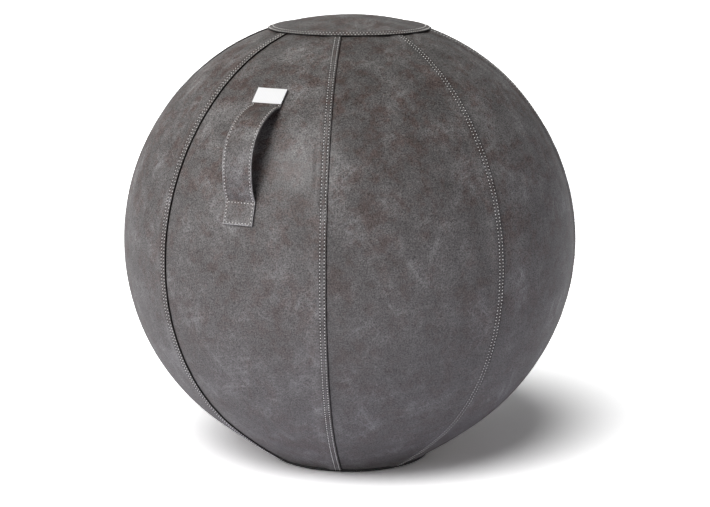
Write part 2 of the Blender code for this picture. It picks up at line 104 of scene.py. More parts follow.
def cover_radius(polar):
    """Distance from the ball's centre to the outer face of a gore, at its middle."""
    radius = BALL_RADIUS
    if polar < TOP_DIP_POLAR:
        radius -= TOP_DIP * ((TOP_DIP_POLAR - polar) / (TOP_DIP_POLAR - CAP_EDGE_POLAR)) ** 2
    if polar > SAG_POLAR:
        radius += SAG * ((polar - SAG_POLAR) / (HEM_POLAR - SAG_POLAR)) ** 2
    return radius


def cap_radius(polar):
    """Distance from the ball's centre to the cap's outer face: a flat dome with a raised, lapped edge."""
    dome = BALL_RADIUS - CAP_DROP * (1 - (polar / CAP_EDGE_POLAR) ** 2)
    lap = cover_radius(polar) + CAP_RISE
    return dome + (lap - dome) * smooth((polar - CAP_RAMP_POLAR) / (CAP_STEP_POLAR - CAP_RAMP_POLAR))


def skin_radius(polar):
    """Distance from the ball's centre to the skin's outer face, which lies under the gores and the cap."""
    return min(cap_radius(polar) - LEATHER_THICKNESS, cover_radius(polar), BALL_RADIUS) - SKIN_INSET


def skin_profile(polars, depth):
    """Points (radius, height) of the skin, that deep under its outer face."""
    reaches = [(skin_radius(polar) - depth, polar) for polar in polars]
    return [(reach * math.sin(polar), CENTRE.z + reach * math.cos(polar)) for reach, polar in reaches]


def turned(profile, turns):
    """Mesh spun round the upright axis from (radius, height) points."""
    bm = bmesh.new()
    points = [bm.verts.new((radius, 0.0, height)) for radius, height in profile]
    for start, end in zip(points, points[1:]):
        bm.edges.new((start, end))
    geometry = bm.verts[:] + bm.edges[:]
    bmesh.ops.spin(bm, geom=geometry, axis=(0, 0, 1), angle=2 * math.pi, steps=turns, use_merge=True)
    bmesh.ops.remove_doubles(bm, verts=bm.verts, dist=MERGE_DISTANCE)
    bmesh.ops.recalc_face_normals(bm, faces=bm.faces)
    return bm


def add_piece(name, bm, material, body="cover"):
    """Makes a piece from a mesh and sets it on its body."""
    mesh = bpy.data.meshes.new(name)
    bm.to_mesh(mesh)
    bm.free()
    mesh.shade_smooth()
    mesh.materials.append(material)
    piece = bpy.data.objects.new(name, mesh)
    bpy.context.scene.collection.objects.link(piece)
    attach(piece, body)
    return piece


def linear(hex_colour):
    """Linear colour of an sRGB hex value."""
    levels = [int(hex_colour[at : at + 2], 16) / 255 for at in (0, 2, 4)]
    return [v / 12.92 if v <= 0.04045 else ((v + 0.055) / 1.055) ** 2.4 for v in levels] + [1.0]


def per_metre(millimetres):
    """Texture scale that gives a pattern of that size."""
    return 1000.0 / millimetres


def add_node(tree, kind, inputs=None, **settings):
    """Adds a node with its settings; an input is a value or the socket that feeds it."""
    node = tree.nodes.new(kind)
    for name, value in settings.items():
        setattr(node, name, value)
    for name, value in (inputs or {}).items():
        if isinstance(value, bpy.types.NodeSocket):
            tree.links.new(value, node.inputs[name])
        else:
            node.inputs[name].default_value = value
    return node


def new_material(name, roughness, metallic=0.0):
    """Material with a plain shader to build on."""
    material = bpy.data.materials.new(name)
    material.use_nodes = True
    shader = material.node_tree.nodes["Principled BSDF"]
    shader.inputs["Roughness"].default_value = roughness
    shader.inputs["Metallic"].default_value = metallic
    return material, material.node_tree, shader


def smooth_plastic(name, hex_colour, hex_dust, roughness):
    # Soft PVC out of a blasted mould, or plastic out of a die: an even satin skin with a fine orange-peel and
    # a trace of dust
    material, tree, shader = new_material(name, roughness)
    place = add_node(tree, "ShaderNodeTexCoord").outputs["Object"]
    cloud = add_node(tree, "ShaderNodeTexNoise", {"Vector": place, "Scale": per_metre(40), "Detail": 4.0})
    dusty = {"Factor": cloud.outputs["Fac"], "A": linear(hex_colour), "B": linear(hex_dust)}
    colour = add_node(tree, "ShaderNodeMix", dusty, data_type="RGBA")
    peel = add_node(tree, "ShaderNodeTexNoise", {"Vector": place, "Scale": per_metre(1.5), "Detail": 2.0})
    peel_bump = {"Strength": 0.2, "Distance": 0.0002, "Height": peel.outputs["Fac"]}
    bump = add_node(tree, "ShaderNodeBump", peel_bump)
    tree.links.new(colour.outputs["Result"], shader.inputs["Base Color"])
    tree.links.new(bump.outputs["Normal"], shader.inputs["Normal"])
    return material


flat_polar = math.acos((BALL_FLAT - CENTRE.z) / (BALL_RADIUS - SKIN_INSET))
skin_polars = spread(0.0, flat_polar, SKIN_STEPS)
outside = skin_profile(skin_polars, 0.0)
mouth = [(VALVE_HOLE, BALL_FLAT), (VALVE_HOLE, BALL_FLAT + SKIN_WALL)]
inside = skin_profile(skin_polars[:-1], SKIN_WALL)
inside.append((outside[-1][0] - 2 * SKIN_WALL, BALL_FLAT + SKIN_WALL))
skin_mesh = turned(outside + mouth + inside[::-1], SKIN_TURNS)
ball_vinyl = smooth_plastic("moulded_grey_vinyl", "6C6E71", "75767A", roughness=0.45)
ball_skin = add_piece("ball_skin", skin_mesh, ball_vinyl)
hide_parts("inner_ball")


# The valve is a soft collar welded into the ball's flat, with a tapered plug pressed in from below.
# Both are moulded in off-white vinyl, and the closed zip hides them.
valve_vinyl = smooth_plastic("moulded_white_vinyl", "D9D8D2", "CFCDC5", roughness=0.4)
for node in ("valve_collar", "valve_plug"):
    valve_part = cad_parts[node]
    valve_part.data.materials.clear()
    valve_part.data.materials.append(valve_vinyl)


# Eight gores of aged faux leather make the round of the cover. Each one's right edge is folded, laid over the
# next gore's left edge and sewn down with two rows, so the seam is a raised band that ends in a dark crease.
GORES = 8
GORE_ANGLE = 2 * math.pi / GORES
GORE_TUCK = 0.0125
GORE_TOP_POLAR = CAP_EDGE_POLAR - GORE_TUCK / BALL_RADIUS
SEAM_BAND = 0.013
SEAM_RAMP = 0.012
SEAM_LIFT = 0.0018
SEAM_PULL = 0.0015
PULL_FADE_POLAR = math.radians(135.0)
UNDERLAP = 0.0115
STITCH_ROWS = (0.0024, 0.0082)
GROOVE_DEPTH = 0.00015
GROOVE_WIDTH = 0.0012
CREASE_DEPTH = 0.0008
CREASE_WIDTH = 0.0007
CREASE_REACH = 0.004
# Painted shade: a thin dark line is painted at each seam's crease and folded edge, and a fainter one along
# the stitch rows
PAINTED_SHADE_WIDTH = 0.0003
PAINTED_SHADE_ON_FOLD = 0.0002
PAINTED_SHADE_AT_STITCHES = 0.65
EDGE_ROUNDING = 0.0006
EDGE_ANGLE = math.radians(60.0)
GORE_ROWS = 200
UNDERLAP_STEPS = 2
CREASE_STEPS = 10
FIELD_STEPS = 34
RAMP_STEPS = 8
BAND_STEPS = 16
HOLLOW_SIZE = 0.11
HOLLOW_DEPTH = 0.0005
PUCKER_SIZE = 0.017
PUCKER_DEPTH = 0.0004
PUCKER_REACH = 0.02
PUCKER_START = 0.5
# Painted light: the stains and mottles grow stronger between these heights, standing in for the sheen on the
# top
TOP_CONTRAST_FROM = 0.22
TOP_CONTRAST_MOST = 0.55
GORE_TONES = (1.05, 0.91, 0.99, 1.02, 0.98, 0.96, 1.0, 1.08)
HIDE_STEP = 0.37


def on_ball(radius, polar, bearing):
    """Point at that distance from the ball's centre."""
    flat = radius * math.sin(polar)
    return CENTRE + Vector((flat * math.sin(bearing), -flat * math.cos(bearing), radius * math.cos(polar)))


def relief(polar, bearing):
    """How far the cover strays from its plain round shape: slow hollows, and puckers beside the seams."""
    spot = on_ball(BALL_RADIUS, polar, bearing) - CENTRE
    slow = HOLLOW_DEPTH * noise.noise(spot / HOLLOW_SIZE)
    turn = (bearing / GORE_ANGLE + 0.5) % 1.0
    beside = min(turn, 1 - turn) * GORE_ANGLE * BALL_RADIUS * math.sin(polar)
    near = math.exp(-((beside / PUCKER_REACH) ** 2)) * smooth(polar / CAP_EDGE_POLAR - PUCKER_START)
    return slow + PUCKER_DEPTH * near * noise.noise(spot / PUCKER_SIZE)


def near_stitches(distance):
    """How much of the stitch rows' effect is felt at that distance from the folded edge."""
    return sum(math.exp(-(((distance - row) / GROOVE_WIDTH) ** 2)) for row in STITCH_ROWS)


def painted_crease_shade(from_edge, from_crease=1.0):
    """How much painted shade darkens the leather there: most at the fold and crease, some along the stitches.
    """
    rows = PAINTED_SHADE_AT_STITCHES * near_stitches(from_edge)
    fold = math.exp(-((from_edge / PAINTED_SHADE_ON_FOLD) ** 2))
    return max(rows, fold, math.exp(-((max(from_crease, 0.0) / PAINTED_SHADE_WIDTH) ** 2)))


def gore_width(polar):
    """Width of a gore between two creases."""
    return GORE_ANGLE * BALL_RADIUS * math.sin(polar)


def gore_point(number, polar, along):
    """Point of a gore's outer face, that far from its left crease."""
    width = gore_width(polar)
    field = width - SEAM_BAND - SEAM_RAMP
    across = min(max(along / field, 0.0), 1.0)
    fade = 1 - smooth((polar - PULL_FADE_POLAR) / (HEM_POLAR - PULL_FADE_POLAR))
    pull = SEAM_PULL * fade * (1 - 4 * across * (1 - across))
    raised = SEAM_LIFT * smooth((along - field) / SEAM_RAMP)
    crease = CREASE_DEPTH * math.exp(-((max(along, 0.0) / CREASE_WIDTH) ** 2))
    pressed = GROOVE_DEPTH * near_stitches(width - along) + crease
    bearing = along / (BALL_RADIUS * math.sin(polar)) + (number - 0.5) * GORE_ANGLE
    radius = cover_radius(polar) - pull + raised - pressed + relief(polar, bearing)
    return on_ball(radius, polar, bearing)


def gore_stations(polar):
    """Distances from the left crease at which a row has points: close together where the shape is small."""
    width = gore_width(polar)
    field = width - SEAM_BAND - SEAM_RAMP
    stations = spread(-UNDERLAP, 0.0, UNDERLAP_STEPS)
    stations += spread(0.0, CREASE_REACH, CREASE_STEPS)[1:]
    stations += spread(CREASE_REACH, field, FIELD_STEPS)[1:]
    stations += spread(field, field + SEAM_RAMP, RAMP_STEPS)[1:]
    return stations + spread(width - SEAM_BAND, width, BAND_STEPS)[1:]


def mapped_grid(columns, rows, place, crease_shade_at=None):
    """Grid whose point at (column, row) is put where place says; rows run upwards seen from outside."""
    bm = bmesh.new()
    bmesh.ops.create_grid(bm, x_segments=columns, y_segments=rows, size=1.0)
    # This layer carries the painted shade at the creases, folded edges and stitch rows
    layer = bm.verts.layers.float.new("painted_crease_shade")
    for vertex in bm.verts:
        column = round((vertex.co.x + 1) / 2 * columns)
        row = round((vertex.co.y + 1) / 2 * rows)
        vertex.co = place(column, row)
        vertex[layer] = crease_shade_at(column, row) if crease_shade_at else 0.0
    return bm


def gore_mesh(number):
    """Sheet of one gore, from the hem up to where it goes under the cap."""
    polars = spread(HEM_POLAR, GORE_TOP_POLAR, GORE_ROWS)
    rows = [gore_stations(polar) for polar in polars]

    def place(column, row):
        return gore_point(number, polars[row], rows[row][column])

    # Painted shade at the crease, the folded edge and the stitch rows
    def crease_shade_at(column, row):
        along = rows[row][column]
        return painted_crease_shade(gore_width(polars[row]) - along, along)

    return mapped_grid(len(rows[0]) - 1, GORE_ROWS, place, crease_shade_at)


def add_wall(piece, thickness, outward=False, rounding=EDGE_ROUNDING):
    """Gives a sheet its thickness and rounds its cut edges."""
    wall = piece.modifiers.new("wall", "SOLIDIFY")
    wall.thickness = thickness
    wall.offset = 1.0 if outward else -1.0
    wall.use_even_offset = True
    edge = piece.modifiers.new("edge", "BEVEL")
    edge.width = rounding
    edge.segments = 2
    edge.limit_method = "ANGLE"
    edge.angle_limit = EDGE_ANGLE
    edge.harden_normals = True


def strokes(tree, hide, runs, detail, faint, full, most, ramp):
    """Strokes rubbed across the hide; a run has a lean, and a stroke's width, depth and length in metres."""
    shown = 0.0
    for lean, *size in runs:
        run = {"Vector": hide, "Rotation": (0.0, lean, 0.0), "Scale": size}
        along = add_node(tree, "ShaderNodeMapping", run, vector_type="TEXTURE").outputs["Vector"]
        line = add_node(tree, "ShaderNodeTexNoise", {"Vector": along, "Scale": 1.0, "Detail": detail})
        levels = {"Value": line.outputs["Fac"], "From Min": faint, "From Max": full, "To Max": most}
        mark = add_node(tree, "ShaderNodeMapRange", levels, interpolation_type=ramp).outputs["Result"]
        shown = add_node(tree, "ShaderNodeMath", {0: shown, 1: mark}, operation="MAXIMUM").outputs[0]
    return shown


def faux_leather(name, turn, shift, tone):
    # Polyurethane leathercloth, embossed with a fine grain, then rubbed back and waxed to look aged: brown
    # shows through the grey in stains, and pale scuffs run over it
    material, tree, shader = new_material(name, roughness=0.6)
    shader.inputs["Specular IOR Level"].default_value = 0.0
    shader.inputs["Coat Weight"].default_value = 0.2
    shader.inputs["Coat Roughness"].default_value = 0.3
    shader.inputs["Coat IOR"].default_value = 1.7
    place = add_node(tree, "ShaderNodeTexCoord").outputs["Object"]
    # Each piece is cut from its own place on the hide, so that no two look alike
    cut_from = {"Vector": place, "Location": (shift, 2.3 * shift, 1.7 * shift), "Rotation": (0.0, 0.0, turn)}
    hide = add_node(tree, "ShaderNodeMapping", cut_from, vector_type="TEXTURE").outputs["Vector"]
    # Painted light: stains and mottles grow stronger towards the top, standing in for the grazing light and
    # sheen there
    height = add_node(tree, "ShaderNodeSeparateXYZ", {"Vector": place}).outputs["Z"]
    heights = {"Value": height, "From Min": TOP_CONTRAST_FROM, "From Max": TOP_CONTRAST_MOST}
    painted_top_contrast = add_node(tree, "ShaderNodeMapRange", heights).outputs["Result"]
    # Stains: large clouds broken up by spots
    clouds = {"Vector": hide, "Scale": per_metre(70), "Detail": 7.0, "Roughness": 0.75}
    cloud = add_node(tree, "ShaderNodeTexNoise", clouds).outputs["Fac"]
    spots = {"Vector": hide, "Scale": per_metre(18), "Detail": 4.0, "Roughness": 0.7}
    spot = add_node(tree, "ShaderNodeTexNoise", spots).outputs["Fac"]
    both = add_node(tree, "ShaderNodeMath", {0: cloud, 1: spot}, operation="ADD").outputs[0]
    # Stains are painted stronger towards the top, as painted light
    most = add_node(tree, "ShaderNodeMapRange", {"Value": painted_top_contrast, "To Min": 0.4, "To Max": 1.0})
    stains = {"Value": both, "From Min": 0.92, "From Max": 1.18, "To Max": most.outputs["Result"]}
    stained = add_node(tree, "ShaderNodeMapRange", stains, interpolation_type="SMOOTHSTEP").outputs["Result"]
    # Wear: soft wisps and finer scratches, both in patches
    patch = add_node(tree, "ShaderNodeTexNoise", {"Vector": hide, "Scale": per_metre(45), "Detail": 3.0})
    patches = {"Value": patch.outputs["Fac"], "From Min": 0.42, "From Max": 0.7}
    worn = add_node(tree, "ShaderNodeMapRange", patches, interpolation_type="SMOOTHSTEP").outputs["Result"]
    wisp_runs = ((0.35, 0.012, 0.09, 0.09), (-0.6, 0.01, 0.09, 0.06), (1.25, 0.0075, 0.09, 0.05))
    wisps = strokes(tree, hide, wisp_runs, detail=3.0, faint=0.48, full=0.8, most=1.0, ramp="SMOOTHSTEP")
    rubbed = add_node(tree, "ShaderNodeMath", {0: wisps, 1: worn}, operation="MULTIPLY").outputs[0]
    scratch_runs = [(lean, 0.004, 0.06, 0.03) for lean in (0.2, 1.0, -0.9)]
    scratches = strokes(tree, hide, scratch_runs, detail=1.0, faint=0.6, full=0.9, most=0.7, ramp="LINEAR")
    scuffed = add_node(tree, "ShaderNodeMath", {0: scratches, 1: worn}, operation="MULTIPLY").outputs[0]
    # Painted highlight: a pale line along the strap's edges, standing in for the light that catches their
    # rounded edges
    edge_highlight_mask = add_node(tree, "ShaderNodeAttribute", attribute_name="painted_edge_highlight").outputs["Fac"]
    colour = linear("63605E")
    layers = ((stained, "584C48"), (rubbed, "7B7977"), (scuffed, "828081"), (edge_highlight_mask, "A9A7A5"))
    for amount, hex_over in layers:
        coats = {"Factor": amount, "A": colour, "B": linear(hex_over)}
        colour = add_node(tree, "ShaderNodeMix", coats, data_type="RGBA").outputs["Result"]
    # Mottles, a large one and a fine one: the size in millimetres, the middle level, how far the level swings
    # from it, and how much further it swings towards the top, where the stronger swing is painted light
    for size, middle, swing, more in ((45.0, tone, 0.1, 0.2), (1.8, 1.0, 0.62, 0.36)):
        blotches = {"Vector": hide, "Scale": per_metre(size), "Detail": 4.0, "Roughness": 0.65}
        mottle = add_node(tree, "ShaderNodeTexNoise", blotches).outputs["Fac"]
        swings = {0: painted_top_contrast, 1: more, 2: swing}
        reach = add_node(tree, "ShaderNodeMath", swings, operation="MULTIPLY_ADD").outputs[0]
        dark = add_node(tree, "ShaderNodeMath", {0: middle, 1: reach}, operation="SUBTRACT").outputs[0]
        light = add_node(tree, "ShaderNodeMath", {0: middle, 1: reach}, operation="ADD").outputs[0]
        levels = {"Value": mottle, "From Min": 0.28, "From Max": 0.72, "To Min": dark, "To Max": light}
        level = add_node(tree, "ShaderNodeMapRange", levels).outputs["Result"]
        shades = {"Factor": 1.0, "A": colour, "B": level}
        shaded = add_node(tree, "ShaderNodeMix", shades, data_type="RGBA", blend_type="MULTIPLY")
        colour = shaded.outputs["Result"]
    # Painted shade: the colour goes near black at the creases and folded edges, and darker along the stitch
    # rows
    painted_shade_mask = add_node(tree, "ShaderNodeAttribute", attribute_name="painted_crease_shade").outputs["Fac"]
    painted_shading = {"Factor": painted_shade_mask, "A": colour, "B": linear("1C1918")}
    colour = add_node(tree, "ShaderNodeMix", painted_shading, data_type="RGBA").outputs["Result"]
    # The real grain is about 1 mm across; it is drawn at 2 mm, so that it shows
    cells = {"Vector": hide, "Scale": per_metre(2.0)}
    grain = add_node(tree, "ShaderNodeTexVoronoi", cells, feature="SMOOTH_F1").outputs["Distance"]
    bump = add_node(tree, "ShaderNodeBump", {"Strength": 0.5, "Distance": 0.0003, "Height": grain})
    tree.links.new(colour, shader.inputs["Base Color"])
    tree.links.new(bump.outputs["Normal"], shader.inputs["Normal"])
    tree.links.new(bump.outputs["Normal"], shader.inputs["Coat Normal"])
    return material


for number in range(GORES):
    material_name = f"aged_faux_leather_gore_{number + 1}"
    leather = faux_leather(material_name, number * GORE_ANGLE, HIDE_STEP * number, GORE_TONES[number])
    gore = add_piece(f"gore_cover_{number + 1}", gore_mesh(number), leather)
    add_wall(gore, LEATHER_THICKNESS)
    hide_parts(f"gore_panel_{number + 1}")


# Topstitching in thick off-white polyester thread holds each lapped seam: two rows from a twin needle, drawn
# a little into the leather. Each stitch is a short arch of three-ply thread that dives in at both ends.
STITCH_PITCH = 0.0047
STITCH_LENGTH = 0.0019
STITCH_RINGS = 7
STITCH_DIVE = 0.0008
STITCH_LIFT = 0.0003
STITCH_WANDER = 0.05
STITCH_SEED = 4
THREAD = 0.0013
THREAD_FLAT = 0.7
THREAD_SIDES = 6
THREAD_LOBE = 0.82
THREAD_TWIST = math.radians(50.0)
PATH_STEPS = 600
wander = random.Random(STITCH_SEED)


def stitch_shape():
    """One stitch along +X: a three-lobed, twisted thread whose ends dip."""
    bm = bmesh.new()
    bmesh.ops.create_uvsphere(bm, u_segments=THREAD_SIDES, v_segments=STITCH_RINGS + 1, radius=1.0)
    for vertex in bm.verts:
        end = abs(vertex.co.z)
        around = math.atan2(vertex.co.y, vertex.co.x)
        thick = THREAD / 2 * math.sqrt(max(1 - end**4, 0.0))
        if round(around * THREAD_SIDES / math.tau) % 2:
            thick *= THREAD_LOBE
        around += THREAD_TWIST * vertex.co.z * STITCH_RINGS / 2
        dip = STITCH_DIVE * end**3
        vertex.co = (
            STITCH_LENGTH / 2 * vertex.co.z,
            thick * math.cos(around),
            thick * math.sin(around) * THREAD_FLAT - dip,
        )
    shape = bpy.data.meshes.new("stitch")
    bm.to_mesh(shape)
    bm.free()
    return shape


def sew(bm, path, up):
    """Lays a row of stitches along path(0) to path(1), standing on the surface whose normal up gives."""
    points = [path(step / PATH_STEPS) for step in range(PATH_STEPS + 1)]
    lengths = [0.0]
    for start, end in zip(points, points[1:]):
        lengths.append(lengths[-1] + (end - start).length)
    count = max(round(lengths[-1] / STITCH_PITCH), 1)
    step = 0
    for number in range(count):
        middle = (number + 0.5) * lengths[-1] / count
        while lengths[step + 1] < middle:
            step += 1
        share = (middle - lengths[step]) / (lengths[step + 1] - lengths[step])
        spot = points[step].lerp(points[step + 1], share)
        normal = up((step + share) / PATH_STEPS)
        along = (points[step + 1] - points[step]).normalized()
        side = normal.cross(along).normalized()
        along = (along + side * wander.uniform(-STITCH_WANDER, STITCH_WANDER)).normalized()
        side = normal.cross(along).normalized()
        turn = Matrix((along, side, along.cross(side))).transposed()
        copy = stitch.copy()
        copy.transform(Matrix.LocRotScale(spot + normal * STITCH_LIFT, turn, None))
        bm.from_mesh(copy)
        bpy.data.meshes.remove(copy)


def sew_gore(bm, number, inset):
    """Sews a row down a gore, that far in from its folded edge."""

    def path(share):
        polar = CAP_EDGE_POLAR + (HEM_POLAR - CAP_EDGE_POLAR) * share
        return gore_point(number, polar, gore_width(polar) - inset)

    def up(share):
        return (path(share) - CENTRE).normalized()

    sew(bm, path, up)


def sewing_thread(name, hex_colour, hex_shade):
    # Bonded polyester thread: a soft, slightly waxy yarn whose plies hold shade and dust between them
    material, tree, shader = new_material(name, roughness=0.55)
    place = add_node(tree, "ShaderNodeTexCoord").outputs["Object"]
    worn = add_node(tree, "ShaderNodeTexNoise", {"Vector": place, "Scale": per_metre(14), "Detail": 2.0})
    levels = {"Value": worn.outputs["Fac"], "From Min": 0.35, "From Max": 0.7}
    shade = add_node(tree, "ShaderNodeMapRange", levels)
    shaded = {"Factor": shade.outputs["Result"], "A": linear(hex_colour), "B": linear(hex_shade)}
    colour = add_node(tree, "ShaderNodeMix", shaded, data_type="RGBA")
    fibre = add_node(tree, "ShaderNodeTexNoise", {"Vector": place, "Scale": per_metre(0.5), "Detail": 2.0})
    fuzz = {"Strength": 0.4, "Distance": 0.0001, "Height": fibre.outputs["Fac"]}
    bump = add_node(tree, "ShaderNodeBump", fuzz)
    tree.links.new(colour.outputs["Result"], shader.inputs["Base Color"])
    tree.links.new(bump.outputs["Normal"], shader.inputs["Normal"])
    return material


stitch = stitch_shape()
pale_thread = sewing_thread("off_white_polyester_thread", "F0EEE9", "DEDBD4")
for number in range(GORES):
    seam_rows = bmesh.new()
    for inset in STITCH_ROWS:
        sew_gore(seam_rows, number, inset)
    add_piece(f"seam_thread_{number + 1}", seam_rows, pale_thread)


# The cap is a round piece of the same leathercloth. Its folded edge lies over the tops of the gores and is
# sewn down all round with the same two rows.
CAP_TURNS = 160
CAP_DOME_STEPS = 22
CAP_RAMP_STEPS = 4
CAP_LAP_STEPS = 16


def cap_point(polar, bearing):
    """Point of the cap's outer face, with its stitch rows pressed in."""
    pressed = GROOVE_DEPTH * near_stitches((CAP_EDGE_POLAR - polar) * BALL_RADIUS)
    return on_ball(cap_radius(polar) - pressed + relief(polar, bearing), polar, bearing)


def sew_cap(bm, inset):
    """Sews a row round the cap, that far in from its folded edge."""

    def path(share):
        return cap_point(CAP_EDGE_POLAR - inset / BALL_RADIUS, 2 * math.pi * share)

    def up(share):
        return (path(share) - CENTRE).normalized()

    sew(bm, path, up)


cap_polars = spread(0.0, CAP_RAMP_POLAR, CAP_DOME_STEPS)
cap_polars += spread(CAP_RAMP_POLAR, CAP_STEP_POLAR, CAP_RAMP_STEPS)[1:]
cap_polars += spread(CAP_STEP_POLAR, CAP_EDGE_POLAR, CAP_LAP_STEPS)[1:]
cap_mesh = turned([(math.sin(polar), math.cos(polar)) for polar in cap_polars], CAP_TURNS)
# Painted shade along the cap's folded edge and its stitch rows
cap_painted_shade = cap_mesh.verts.layers.float.new("painted_crease_shade")
for vertex in cap_mesh.verts:
    polar = math.acos(min(max(vertex.co.z, -1.0), 1.0))
    vertex[cap_painted_shade] = painted_crease_shade((CAP_EDGE_POLAR - polar) * BALL_RADIUS)
    vertex.co = cap_point(polar, math.atan2(vertex.co.x, -vertex.co.y))
# Painted reflection: the cap's leather is made lighter, standing in for the bright backdrop it reflects at a
# grazing angle
cap_leather = faux_leather("aged_faux_leather_cap", turn=0.4, shift=5.1, tone=1.15)
cap = add_piece("cap_cover", cap_mesh, cap_leather)
add_wall(cap, LEATHER_THICKNESS)
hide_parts("top_cap")
cap_rows = bmesh.new()
for inset in STITCH_ROWS:
    sew_cap(cap_rows, inset)
add_piece("cap_thread", cap_rows, pale_thread)


# The strap handle is two layers of leathercloth sewn together along both edges. Its ends lie flat on the gore
# and are sewn down, the lower one with a box of stitches, and the stretch between bows out for a hand.
STRAP_WIDTH = 0.044
STRAP_LAYER = 0.00145
STRAP_THICKNESS = 0.003
STRAP_LAYERS = (("handle_lining", 0.0, -1.0), ("handle_face", STRAP_THICKNESS - STRAP_LAYER, 1.0))
STRAP_SEAT = 0.0006
STRAP_BOW = 0.0315
STRAP_BEND = 0.25
STRAP_FLATTENING = 3
STRAP_TURN = math.radians(0.45)
STRAP_TOP_POLAR = math.radians(42.7)
STRAP_RISE_POLAR = math.radians(47.4)
STRAP_LAND_POLAR = math.radians(72.2)
STRAP_END_POLAR = math.radians(77.4)
STRAP_COLUMNS = 28
STRAP_ROWS = 110
STRAP_ROW_INSET = 0.0028
STRAP_ROW_SIDE = STRAP_WIDTH / 2 - STRAP_ROW_INSET
STRAP_ROW_END = STRAP_END_POLAR - STRAP_ROW_INSET / BALL_RADIUS
PROBE_SIDE = 0.001
PROBE_POLAR = 0.002
LABEL_CLEARANCE = 0.0018
LABEL_END_POLAR = STRAP_RISE_POLAR - LABEL_CLEARANCE / BALL_RADIUS


def strap_point(side, polar):
    """Point of the strap's inner face, that far to the right of its middle."""
    part = min(max((polar - STRAP_RISE_POLAR) / (STRAP_LAND_POLAR - STRAP_RISE_POLAR), 0.0), 1.0)
    bow = math.sin(math.pi * part)
    bow *= smooth(bow / STRAP_BEND)
    radius = cover_radius(polar) + relief(polar, 0.0) + STRAP_SEAT + STRAP_BOW * bow
    hugging = on_ball(radius, polar, STRAP_TURN + side / (radius * math.sin(polar)))
    across = Vector((math.cos(STRAP_TURN), math.sin(STRAP_TURN), 0.0))
    flat = on_ball(radius, polar, STRAP_TURN) + across * side
    return hugging.lerp(flat, min(STRAP_FLATTENING * bow, 1.0))


def strap_up(side, polar):
    """Direction that the strap's outer face looks in."""
    along = strap_point(side, polar + PROBE_POLAR) - strap_point(side, polar - PROBE_POLAR)
    across = strap_point(side + PROBE_SIDE, polar) - strap_point(side - PROBE_SIDE, polar)
    return along.cross(across).normalized()


def strap_groove(side):
    """How deep the edge rows press into the strap there."""
    inset = STRAP_WIDTH / 2 - abs(side) - STRAP_ROW_INSET
    return GROOVE_DEPTH * math.exp(-((inset / GROOVE_WIDTH) ** 2))


def strap_layer(lift, pressed, first, last, rows):
    """Strip of the strap that lies that far above its inner face."""
    polars = spread(last, first, rows)

    def place(column, row):
        side = STRAP_WIDTH * (column / STRAP_COLUMNS - 0.5)
        height = lift - pressed * strap_groove(side)
        return strap_point(side, polars[row]) + strap_up(side, polars[row]) * height

    return mapped_grid(STRAP_COLUMNS, rows, place)


def sew_strap(bm, start, end, height):
    """Sews a straight row between two (side, polar) places on the strap, that high above its inner face."""

    def spot(share):
        return [first + (last - first) * share for first, last in zip(start, end)]

    def up(share):
        return strap_up(*spot(share))

    def path(share):
        return strap_point(*spot(share)) + up(share) * height

    sew(bm, path, up)


def edge_paint():
    # Acrylic paint brushed on the strap's cut edges to seal them: dark, a little glossy, and uneven where the
    # brush left more of it
    material, tree, shader = new_material("dark_acrylic_edge_paint", roughness=0.45)
    place = add_node(tree, "ShaderNodeTexCoord").outputs["Object"]
    coat = add_node(tree, "ShaderNodeTexNoise", {"Vector": place, "Scale": per_metre(6.0), "Detail": 2.0})
    brushed = {"Factor": coat.outputs["Fac"], "A": linear("262221"), "B": linear("3A3534")}
    colour = add_node(tree, "ShaderNodeMix", brushed, data_type="RGBA")
    tree.links.new(colour.outputs["Result"], shader.inputs["Base Color"])
    return material


strap_leather = faux_leather("aged_faux_leather_strap", turn=0.9, shift=7.3, tone=1.1)
strap_edge = edge_paint()
for name, lift, pressed in STRAP_LAYERS:
    bm = strap_layer(lift, pressed, STRAP_TOP_POLAR, STRAP_END_POLAR, STRAP_ROWS)
    # Painted highlight: the layers' edges are marked, so that a pale line is painted where light would catch
    # their rounded edges
    painted_edge_highlight = bm.verts.layers.float.new("painted_edge_highlight")
    for vertex in bm.verts:
        vertex[painted_edge_highlight] = 1.0 if vertex.is_boundary else 0.0
    layer = add_piece(name, bm, strap_leather)
    add_wall(layer, STRAP_LAYER, outward=True)
    layer.data.materials.append(strap_edge)
    layer.modifiers["wall"].material_offset_rim = 1
    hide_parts("handle_strap")
strap_rows = bmesh.new()
for side in (-STRAP_ROW_SIDE, STRAP_ROW_SIDE):
    sew_strap(strap_rows, (side, LABEL_END_POLAR), (side, STRAP_ROW_END), STRAP_THICKNESS - GROOVE_DEPTH)
for polar in (STRAP_LAND_POLAR, STRAP_ROW_END):
    sew_strap(strap_rows, (-STRAP_ROW_SIDE, polar), (STRAP_ROW_SIDE, polar), STRAP_THICKNESS)
add_piece("handle_thread", strap_rows, pale_thread)


# The label is a bare white ribbon of woven satin, heat-cut to the strap's width. It is bonded over the
# strap's upper end, and stops just short of where the strap rises.
LABEL_THICKNESS = 0.0006
LABEL_LIFT = 0.0003
LABEL_EDGE = 0.0001
LABEL_ROWS = 16


def bands_per_metre(millimetres):
    """Wave texture scale that gives a band every so many millimetres: at 1 it has 20 bands in 2 pi metres."""
    return per_metre(millimetres) * math.tau / 20


